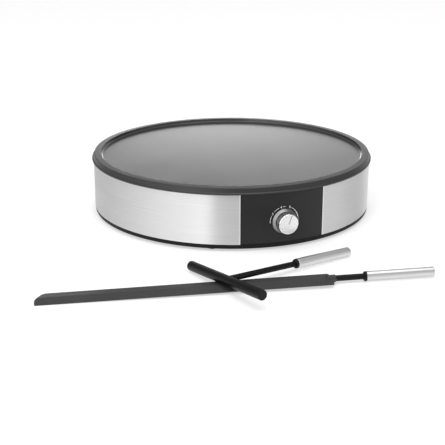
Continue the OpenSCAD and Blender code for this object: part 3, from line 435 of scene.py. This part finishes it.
def moulded(name, tone, roughness, texture, depth, gloss=0.5, warmth=0.0):
    """A plastic with an etched mould texture of a given grain and depth."""
    plastic = Surface(name)
    grain = plastic.noise(plastic.place, 1 / texture, detail=1.0)
    patches = plastic.noise(plastic.place, 1 / PATCH_SIZE)
    dark, light = grey(tone * PATCH_DARKER, warmth), grey(tone * PATCH_LIGHTER, warmth)
    rougher = roughness + PATCH_ROUGHER * patches + GRAIN_ROUGHER * grain
    return plastic.finish({
        "Base Color": patches.within(0.2, 0.8).blend(dark, light),
        "Roughness": rougher - SMOOTHER,
        "Specular IOR Level": gloss,
        "Normal": plastic.bump(grain, depth, MOULD_BUMP),
    })


# name, tone, roughness, texture, depth, gloss, warmth
PANEL = moulded("panel_moulding", 0.012, 0.40, 0.45 * MM, 0.02 * MM, 0.30)
BASE = moulded("base_moulding", 0.006, 0.50, 0.60 * MM, 0.03 * MM, 0.18)
NYLON = moulded("blade_nylon", 0.050, 0.55, 0.50 * MM, 0.02 * MM, 0.25)
BAR_NYLON = moulded("bar_nylon", 0.003, 0.36, 0.50 * MM, 0.02 * MM, 0.23)
ROD_NYLON = moulded("rod_nylon", 0.005, 0.40, 0.50 * MM, 0.02 * MM, 0.20)
RUBBER = moulded("matt_rubber", 0.012, 0.75, 0.80 * MM, 0.03 * MM, 0.3)
PHENOLIC = moulded("dark_phenolic", 0.030, 0.40, 0.90 * MM, 0.02 * MM, 0.5, 0.10)
CERAMIC = moulded("glazed_ceramic", 0.78, 0.25, 2.0 * MM, 0.01 * MM, 0.5, 0.03)
POINTER_PAINT = moulded("pointer_paint", 0.30, 0.45, 0.30 * MM, 0.01 * MM)
DIAL_INK = moulded("dial_ink", 0.85, 0.50, 0.25 * MM, 0.004 * MM)

# %% [markdown]
# ## Metals and wires inside
# Screws, brackets and the heating element are plated steel, and the wires
# have silicone sleeves. They are hidden while the appliance is whole, and one
# grey would do for a picture of it. Each still gets its own finish, because
# the base can be taken off.

# %% Plated steel, brass and wire insulation
STAIN_SIZE, STAIN_DARKER, STAIN_ROUGHER = 5 * MM, 0.8, 0.15
MOTTLE_SIZE, MOTTLE_DARKER, MOTTLE_ROUGHER = 2 * MM, 0.75, 0.1
SLEEVE_ROUGHNESS = 0.45


def darker(colour, share):
    return tuple(share * c for c in colour[:3]) + (1.0,)


def plated(name, colour, roughness):
    """Metal of small inner parts, with soft stains in its plating."""
    metal = Surface(name)
    stain = metal.noise(metal.place, 1 / STAIN_SIZE, detail=3.0)
    return metal.finish({
        "Base Color": stain.within(0.3, 0.7).blend(darker(colour, STAIN_DARKER), colour),
        "Metallic": 1.0,
        "Roughness": roughness + STAIN_ROUGHER * stain,
    })


def insulation(name, colour):
    """Silicone sleeve of a wire, slightly mottled."""
    sleeve = Surface(name)
    mottle = sleeve.noise(sleeve.place, 1 / MOTTLE_SIZE)
    return sleeve.finish({
        "Base Color": mottle.blend(darker(colour, MOTTLE_DARKER), colour),
        "Roughness": SLEEVE_ROUGHNESS + MOTTLE_ROUGHER * mottle,
    })


ZINC = plated("zinc_plate", (0.58, 0.60, 0.62, 1), 0.28)
BRASS = plated("plain_brass", (0.78, 0.58, 0.27, 1), 0.22)
BROWN_WIRE = insulation("brown_silicone", (0.22, 0.11, 0.05, 1))
BLACK_WIRE = insulation("black_silicone", (0.03, 0.03, 0.03, 1))
BLUE_WIRE = insulation("blue_silicone", (0.06, 0.16, 0.45, 1))
GREEN_WIRE = insulation("green_silicone", (0.12, 0.36, 0.10, 1))

# %% [markdown]
# ## Dressing the solids
# A solid whose shape is right keeps its mesh and only gets a material. That
# could be done one solid at a time. The record already says which slot each
# one belongs to, so one table from slot to material dresses all of them,
# inner parts included. A second table names the few solids that differ from
# the rest of their slot: the dial's ring is duller than the knob, the
# spreader's bar and both tools' rods are darker than the blade, and each
# handle's brushing follows its own axis.

# %% One material for each slot, and the exceptions
SLOT_MATERIALS = {
    "cast_plate": COATED,
    "satin_steel": BAND_STEEL,
    "turned_aluminium": TURNED,
    "panel_plastic": PANEL,
    "pointer_black": POINTER_PAINT,
    "base_plastic": BASE,
    "foot_rubber": RUBBER,
    "tool_nylon": NYLON,
    "handle_steel": SPATULA_STEEL,
    "zinc_steel": ZINC,
    "phenolic": PHENOLIC,
    "ceramic_bead": CERAMIC,
    "brass": BRASS,
    "brown_insulation": BROWN_WIRE,
    "black_insulation": BLACK_WIRE,
    "blue_insulation": BLUE_WIRE,
    "green_insulation": GREEN_WIRE,
}
NODE_MATERIALS = {
    "dial_ring": RING_METAL,
    "spreader_bar": BAR_NYLON,
    "spreader_rod": ROD_NYLON,
    "spreader_collar": ROD_NYLON,
    "spatula_rod": ROD_NYLON,
    "spatula_collar": ROD_NYLON,
    "spreader_handle": SPREADER_STEEL,
    "spreader_plug": SPREADER_STEEL,
}

for part in frame["record"]["subparts"]:
    solid = frame["nodes"][part["node"]]
    if not solid.material_slots:
        solid.data.materials.append(None)
    for slot in solid.material_slots:
        slot.material = NODE_MATERIALS.get(part["node"], SLOT_MATERIALS[part["material_slot"]])

# %% [markdown]
# ## Geometry Nodes in the same words
# Two details are missing from the solids: the hems at the ends of the steel
# band and the print round the knob. Both are flat shapes that repeat and are
# given a thickness, so they share these helpers. A tree gets one named input
# for each of its sizes, so its sizes can be changed without opening it.

# %% Helpers inside a tree of Geometry Nodes
SAME_POINT = 0.002 * MM


def new_tree(name, sizes):
    """An empty tree with one number input for each size; gives its nodes and its inputs."""
    tree = bpy.data.node_groups.new(name, "GeometryNodeTree")
    tree.interface.new_socket("Geometry", in_out="INPUT", socket_type="NodeSocketGeometry")
    for size in sizes:
        tree.interface.new_socket(size, in_out="INPUT", socket_type="NodeSocketFloat")
    tree.interface.new_socket("Geometry", in_out="OUTPUT", socket_type="NodeSocketGeometry")
    nodes = Field(tree)
    given = nodes.node("NodeGroupInput").socket.node.outputs
    print("tree", name, "with inputs:", ", ".join(sizes))
    return nodes, {label: Field(tree, given[label]) for label in ["Geometry", *sizes]}


def attribute(nodes, name):
    """A number that the points carry under a name."""
    settings = {"data_type": "FLOAT"}
    return nodes.node("GeometryNodeInputNamedAttribute", settings, {"Name": name})


def thickened(nodes, flat, thickness):
    """A closed solid: the flat faces, the same faces moved up, and the walls between them."""
    pushed = {"Mesh": flat, "Offset": nodes.join(0.0, 0.0, thickness), "Individual": False}
    raised = nodes.node("GeometryNodeExtrudeMesh", None, pushed)
    under = nodes.node("GeometryNodeFlipFaces", None, {"Mesh": flat})
    closed = nodes.node("GeometryNodeJoinGeometry", None, {"Geometry": [raised, under]})
    merged = {"Geometry": closed, "Distance": SAME_POINT}
    return nodes.node("GeometryNodeMergeByDistance", None, merged)


def end_tree(nodes, geometry, material):
    """Real mesh instead of instances, then the material, then the way out."""
    real = nodes.node("GeometryNodeRealizeInstances", None, {"Geometry": geometry})
    finish = {"Geometry": real, "Material": material}
    dressed = nodes.node("GeometryNodeSetMaterial", None, finish)
    nodes.node("NodeGroupOutput", None, {"Geometry": dressed})


print("flat shapes are closed by merging points", SAME_POINT / MM, "mm apart or less")

# %% [markdown] A tree starts from an object of loose points, one for each
# copy that it makes. What differs from copy to copy, such as a turn, is
# written on the points as an attribute. When the tree has run, its result is
# kept as a plain mesh and the modifier goes, so nothing live is left on the
# piece.

# %% Helpers round a tree of Geometry Nodes
def points_with(name, places, columns):
    """An object of loose points that carry one number attribute for each column."""
    mesh = bpy.data.meshes.new(name)
    mesh.from_pydata(places, [], [])
    for column, values in columns.items():
        mesh.attributes.new(column, "FLOAT", "POINT").data.foreach_set("value", values)
    made = bpy.data.objects.new(name, mesh)
    bpy.context.scene.collection.objects.link(made)
    print(name, "starts from", len(places), "points with:", ", ".join(columns))
    return made


def run_tree(piece, tree, sizes):
    """Sets the inputs by their identifiers, runs the tree and keeps its mesh."""
    modifier = piece.modifiers.new(tree.name, "NODES")
    modifier.node_group = tree
    for item in tree.interface.items_tree:
        if item.in_out == "INPUT" and item.name in sizes:
            modifier[item.identifier] = sizes[item.name]
    depsgraph = bpy.context.evaluated_depsgraph_get()
    piece.data = bpy.data.meshes.new_from_object(piece.evaluated_get(depsgraph))
    piece.modifiers.clear()
    print(piece.name, "from", len(tree.nodes), "nodes:", len(piece.data.polygons), "faces")


print("helpers ready:", points_with.__name__, "and", run_tree.__name__)

# %% [markdown]
# ## Hems at the ends of the band
# The steel band is a strip bent into an open ring, and the panel fills its
# opening. Each end of the strip is hemmed: a narrow bead stands along it, laps
# over the panel's edge and shows as a bright line, partly by catching the light
# and partly by a painted highlight in its lighter steel. Two boxes with
# beveled edges would do, but one bead is enough: it is made once and placed
# on two points, one at each end, each turned to face out.
#
# The angle of the band's ends comes from its mesh: it is the smallest angle
# from the front among the points on its outer face. A hem starts a little way
# on the band, covers the panel's edge with the rest of its width, and stays
# shy of the band's face by a hair.

# %% Where the two hems stand
HEM_WIDTH = 1.45 * MM
HEM_LAP = 0.15 * MM
SHY = 0.03 * MM
SKIN = 0.05 * MM

outer = [v.co for v in frame["nodes"]["steel_band"].data.vertices]
outer = [p for p in outer if (p.xy - AXIS.xy).length > BAND_R - SKIN]
band_end = min(abs(math.atan2(p.x - AXIS.x, AXIS.y - p.y)) for p in outer)
hem_turn = band_end + (HEM_LAP - HEM_WIDTH / 2) / BAND_R
hem_r = (PANEL_R + BAND_R - SHY) / 2
hem_turns = [-hem_turn, hem_turn]
hem_places = [
    (AXIS.x + hem_r * math.sin(turn), AXIS.y - hem_r * math.cos(turn), BAND_LOW.z)
    for turn in hem_turns
]
band_hems = points_with("band_hems", hem_places, {"turn": hem_turns})
print("band ends", round(math.degrees(band_end), 2), "degrees from the front")

# %% [markdown]
# A hem's section is a small rectangle. Its corners are filleted while it is
# still a curve, which rounds the hem's four long edges. Then it is filled and
# raised to the band's height.

# %% Geometry Nodes tree of the hems
HEM_SIZES = {
    "Width": HEM_WIDTH,
    "Thickness": BAND_R - SHY - PANEL_R,
    "Round": 0.12 * MM,
    "Height": BAND_HIGH.z - BAND_LOW.z,
}
FILLET_STEPS = 4

nodes, given = new_tree("band_hems", HEM_SIZES)
section = {"Width": given["Width"], "Height": given["Thickness"]}
outline = nodes.node("GeometryNodeCurvePrimitiveQuadrilateral", None, section)
fillet = {"Curve": outline, "Count": FILLET_STEPS, "Radius": given["Round"]}
outline = nodes.node("GeometryNodeFilletCurve", {"mode": "POLY"}, fillet)
flat = nodes.node("GeometryNodeFillCurve", None, {"Curve": outline})
bead = thickened(nodes, flat, given["Height"])
facing_out = nodes.join(0.0, 0.0, attribute(nodes, "turn"))
on_ends = {"Points": given["Geometry"], "Instance": bead, "Rotation": facing_out}
beads = nodes.node("GeometryNodeInstanceOnPoints", None, on_ends)
end_tree(nodes, beads, HEM_HIGHLIGHT_STEEL)
run_tree(band_hems, nodes.tree, HEM_SIZES)
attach(band_hems, "appliance")

# %% [markdown]
# ## The dial's scale
# The panel carries a printed scale round the knob: five numerals, with arcs
# between them that stop short of the figures. The print could be a picture,
# but then it would blur, so it is made as very thin solid ink. Geometry Nodes
# suit it, because an arc is one grid bent round a circle, repeated, and the
# whole flat scale is then wrapped onto the panel's curve in one step.
#
# Angles are measured clockwise from the top, as on a clock. The first arc
# swells from thin to thick, and the others have one width. The lower left is
# bare, where the knob goes from its middle heats to its high ones.
#
# Each arc starts as one point of a small mesh. The point carries the arc's
# two angles and two widths as attributes, and the tree reads them back on
# every copy of the grid that it puts there.

# %% Numerals and arcs of the scale
LINE = 0.5 * MM
NUMERAL_ANGLES = [22, 84, 137.5, 304, 345.5]
# start and end in degrees, first and last width
ARCS = [
    (29, 77, 0.3 * MM, 0.9 * MM),
    (91, 131, LINE, LINE),
    (266, 295, LINE, LINE),
    (313, 337, LINE, LINE),
    (353.5, 364, LINE, LINE),
]

columns = {
    name: [arc[i] for arc in ARCS]
    for i, name in enumerate(("start", "end", "first", "last"))
}
dial_scale = points_with("dial_scale", [(0, 0, 0)] * len(ARCS), columns)

# %% [markdown]
# The scale's tree gets the places that it needs as inputs too, so that the
# print stays round the knob and on the panel. The ink is sunk a little into
# the panel, because two surfaces in exactly one place flicker.

# %% Inputs of the scale's tree
INK = 0.04 * MM
INK_SUNK = 0.02 * MM
SCALE_SIZES = {
    "Radius": RING_R + 2.4 * MM,
    "Numeral size": 4.2 * MM,
    "Panel radius": PANEL_R,
    "Ink thickness": INK + INK_SUNK,
    "Sunk": INK_SUNK,
    "Axis x": AXIS.x,
    "Axis y": AXIS.y,
    "Knob height": KNOB.z,
}
nodes, given = new_tree("dial_scale", SCALE_SIZES)


def stored(geometry, name, value):
    inputs = {"Geometry": geometry, "Name": name, "Value": value}
    return nodes.node("GeometryNodeStoreNamedAttribute", {"data_type": "FLOAT"}, inputs)


def moved_to(geometry, x, y, z):
    inputs = {"Geometry": geometry, "Position": nodes.join(x, y, z)}
    return nodes.node("GeometryNodeSetPosition", None, inputs)


# %% [markdown]
# An arc is a flat grid, one metre square and one face wide. Before it is
# copied, each of its points notes how far along and how far across it lies.
# These two numbers then say where on the arc the point goes: `along` turns it
# round the circle, and `across` moves it in or out by half of the width.

# %% Arcs
ARC_POINTS = 25

grid_inputs = {"Size X": 1.0, "Size Y": 1.0, "Vertices X": ARC_POINTS, "Vertices Y": 2}
grid = nodes.node("GeometryNodeMeshGrid", None, grid_inputs)
x, y, z = nodes.node("GeometryNodeInputPosition").split()
grid = stored(stored(grid, "along", x + 0.5), "across", y)
on_points = {"Points": given["Geometry"], "Instance": grid}
copies = nodes.node("GeometryNodeInstanceOnPoints", None, on_points)
flat_arcs = nodes.node("GeometryNodeRealizeInstances", None, {"Geometry": copies})
along, across = attribute(nodes, "along"), attribute(nodes, "across")
start, first = attribute(nodes, "start"), attribute(nodes, "first")
turn = (start + (attribute(nodes, "end") - start) * along) * math.radians(1)
width = first + (attribute(nodes, "last") - first) * along
reach = given["Radius"] + across * width
flat_arcs = moved_to(flat_arcs, reach * turn.sin(), reach * turn.cos(), 0.0)
print("arcs:", len(ARCS), "with", ARC_POINTS, "points on each side")

# %% [markdown]
# A numeral starts as text, which Blender makes of curves. Filled, it is a
# flat mesh. It stays upright and is only moved to its place on the circle,
# because turned figures would be hard to read.

# %% Numerals
flat_pieces = [flat_arcs]
for number, clockwise in enumerate(NUMERAL_ANGLES):
    settings = {"align_x": "CENTER", "align_y": "MIDDLE"}
    inputs = {"String": str(number), "Size": given["Numeral size"]}
    outline = nodes.node("GeometryNodeStringToCurves", settings, inputs)
    outline = nodes.node("GeometryNodeRealizeInstances", None, {"Geometry": outline})
    filled = nodes.node("GeometryNodeFillCurve", None, {"Curve": outline})
    a = math.radians(clockwise)
    spot = nodes.join(given["Radius"] * math.sin(a), given["Radius"] * math.cos(a), 0.0)
    shift = {"Geometry": filled, "Translation": spot}
    flat_pieces.append(nodes.node("GeometryNodeTransform", None, shift))
print("numerals:", len(NUMERAL_ANGLES))

# %% [markdown]
# The whole scale is flat until now. Once it has its thickness, each point's
# distance to the side becomes an angle round the appliance's axis, its height
# is measured from the knob, and its depth from the panel's face. That wraps
# arcs and numerals alike, as a pad does that prints on a curved panel.

# %% Ink wrapped onto the panel
flat = nodes.node("GeometryNodeJoinGeometry", None, {"Geometry": flat_pieces})
ink = thickened(nodes, flat, given["Ink thickness"])
x, y, z = nodes.node("GeometryNodeInputPosition").split()
bend = x / given["Panel radius"]
out = given["Panel radius"] - given["Sunk"] + z
round_x = given["Axis x"] + out * bend.sin()
round_y = given["Axis y"] - out * bend.cos()
wrapped = moved_to(ink, round_x, round_y, given["Knob height"] + y)
end_tree(nodes, wrapped, DIAL_INK)
run_tree(dial_scale, nodes.tree, SCALE_SIZES)
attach(dial_scale, "appliance")

# %% [markdown] ## Floor The floor is a plain pale sheet, large enough that
# its edge never shows. Lit by the room alone it would turn grey, and a
# stronger room would wash out the steel. So it glows a little, like a light
# table: the ground stays white and the shadows under the pieces stay soft and
# faint.

# %% Floor
FLOOR_SIZE = 60.0
FLOOR_DARK, FLOOR_LIGHT = 0.58, 0.60
FLOOR_ROUGHNESS = 0.9
FLOOR_GLOW = 0.52
FIBRES = 40.0

floor_mesh = bpy.data.meshes.new("floor")
half = FLOOR_SIZE / 2
corners = [(-half, -half, 0), (half, -half, 0), (half, half, 0), (-half, half, 0)]
floor_mesh.from_pydata(corners, [], [(0, 1, 2, 3)])
floor = bpy.data.objects.new("floor", floor_mesh)
bpy.context.scene.collection.objects.link(floor)
paper = Surface("floor_paper")
fibres = paper.noise(paper.place, FIBRES)
floor_mesh.materials.append(paper.finish({
    "Base Color": fibres.blend(grey(FLOOR_DARK), grey(FLOOR_LIGHT)),
    "Roughness": FLOOR_ROUGHNESS,
    "Specular IOR Level": 0.0,
    "Emission Color": (1, 1, 1, 1),
    "Emission Strength": FLOOR_GLOW,
}))
print("floor", FLOOR_SIZE, "m across")

# %% [markdown]
# ## The studio round it
# Steel and the plate show what surrounds them, so the room matters as much as
# the lamps. A picture of a real studio could be wrapped round the scene. This
# one is worked out instead, so that each of its zones can be set by itself.
#
# A zone is a place in the sky, given by its azimuth and its height, both in
# degrees. Azimuths are seen from above: 0 is in front of the panel, 90 to the
# right, and the left side is negative.

# %% Directions in the sky
world = bpy.data.worlds.new("studio")
world.use_nodes = True
world.node_tree.nodes.clear()
room = Field(world.node_tree)
x, y, z = room.node("ShaderNodeTexCoord", output="Generated").split()
azimuth = room.math("ARCTAN2", x, 0 - y) * math.degrees(1)
height = room.math("ARCSINE", z) * math.degrees(1)


def facing(degrees, narrow, wide):
    """1 near an azimuth, fading to 0 between two angles from it."""
    a = math.radians(degrees)
    beside = x * math.sin(a) - y * math.cos(a)
    return beside.within(math.cos(math.radians(wide)), math.cos(math.radians(narrow)))


print("azimuth and height from", len(world.node_tree.nodes), "nodes")

# %% [markdown]
# The zones are broad, as tall diffusers would make:
#
# - a light one to the left, a little stronger near its end, which stops
#   sharply and so draws the edge of the stripe on the band;
# - a bright one low behind the appliance, which the plate mirrors;
# - two soft ones, at the rear right and at the front right, for the band's
#   right part;
# - a soft one overhead, for the tops of the handles.
#
# Two flags, which are dark cloths in a real studio, take light away at the
# right and at the rear left. Between the zones the room is darker, which
# gives the steel its shape.
#
# Each zone has its strength, and its place as numbers for `within` or for
# `facing`. A pair says between which two angles the light rises or fades.
# Three numbers are an azimuth and the two angles of its fade.

# %% Strengths and places of the zones
ROOM = 0.38
LEFT_GLOW, LEFT_RISE, LEFT_TOP = 1.5, (-150, -38), (35, 70)
STRIPE_MORE, STRIPE_RISE, STRIPE_END = 0.2, (-62, -42), (-36, -33)
BACK_GLOW, BACK_PLACE, BACK_TOP = 5.0, (162, 0, 17), (8, 20)
RIGHT_GLOW, RIGHT_PLACE = 0.7, (138, 5, 30)
FRONT_GLOW, FRONT_PLACE = 0.38, (30, 20, 70)
FLAG, FLAG_PLACE = 0.22, (110, 10, 38)
REAR_FLAG_SHARE, REAR_FLAG_PLACE = 0.6, (-160, 10, 40)
LOW_TOP = (30, 60)
TOP_GLOW, TOP_RISE = 0.45, (40, 75)
print("the strongest zone adds", round(BACK_GLOW / ROOM, 1), "times the room's light")

# %% [markdown]
# The zones are added up to one strength for every direction of the sky. The
# last setting is the view transform. The usual one softens whites to a light
# grey, and Standard leaves them white.

# %% Zones of light
left = azimuth.within(*LEFT_RISE) + STRIPE_MORE * azimuth.within(*STRIPE_RISE)
left = left * (1 - azimuth.within(*STRIPE_END)) * (1 - height.within(*LEFT_TOP))
back = facing(*BACK_PLACE) * (1 - height.within(*BACK_TOP))
low = 1 - height.within(*LOW_TOP)
right = facing(*RIGHT_PLACE) * low
front = facing(*FRONT_PLACE) * low
flags = (facing(*FLAG_PLACE) + REAR_FLAG_SHARE * facing(*REAR_FLAG_PLACE)) * low
top = height.within(*TOP_RISE)
glow = ROOM + LEFT_GLOW * left + BACK_GLOW * back + RIGHT_GLOW * right + FRONT_GLOW * front
glow = glow + TOP_GLOW * top - FLAG * flags
sky = room.node("ShaderNodeBackground", None, {"Color": (1, 1, 1, 1), "Strength": glow})
room.node("ShaderNodeOutputWorld", None, {"Surface": sky})
bpy.context.scene.world = world
bpy.context.scene.view_settings.view_transform = "Standard"
print("studio with", len(world.node_tree.nodes), "nodes")

# %% [markdown]
# ## One soft lamp
# A single wide lamp hangs above and a little in front. A small lamp would
# draw hard shadows, and a sun would do the same. A lamp as wide as this gives
# the round handles and the knob their form, and a soft edge to the shadows.

# %% Overhead lamp
LAMP_HEIGHT = 1.8
LAMP_FORWARD = 0.3
LAMP_SIZE = 1.6
LAMP_POWER = 12

lamp_data = bpy.data.lights.new("overhead", "AREA")
lamp_data.size = LAMP_SIZE
lamp_data.energy = LAMP_POWER
lamp = bpy.data.objects.new("overhead", lamp_data)
lamp.location = (AXIS.x, AXIS.y - LAMP_FORWARD, LAMP_HEIGHT)
bpy.context.scene.collection.objects.link(lamp)
print("lamp", LAMP_SIZE, "m wide at", LAMP_HEIGHT, "m")

# %% [markdown] ## Closing
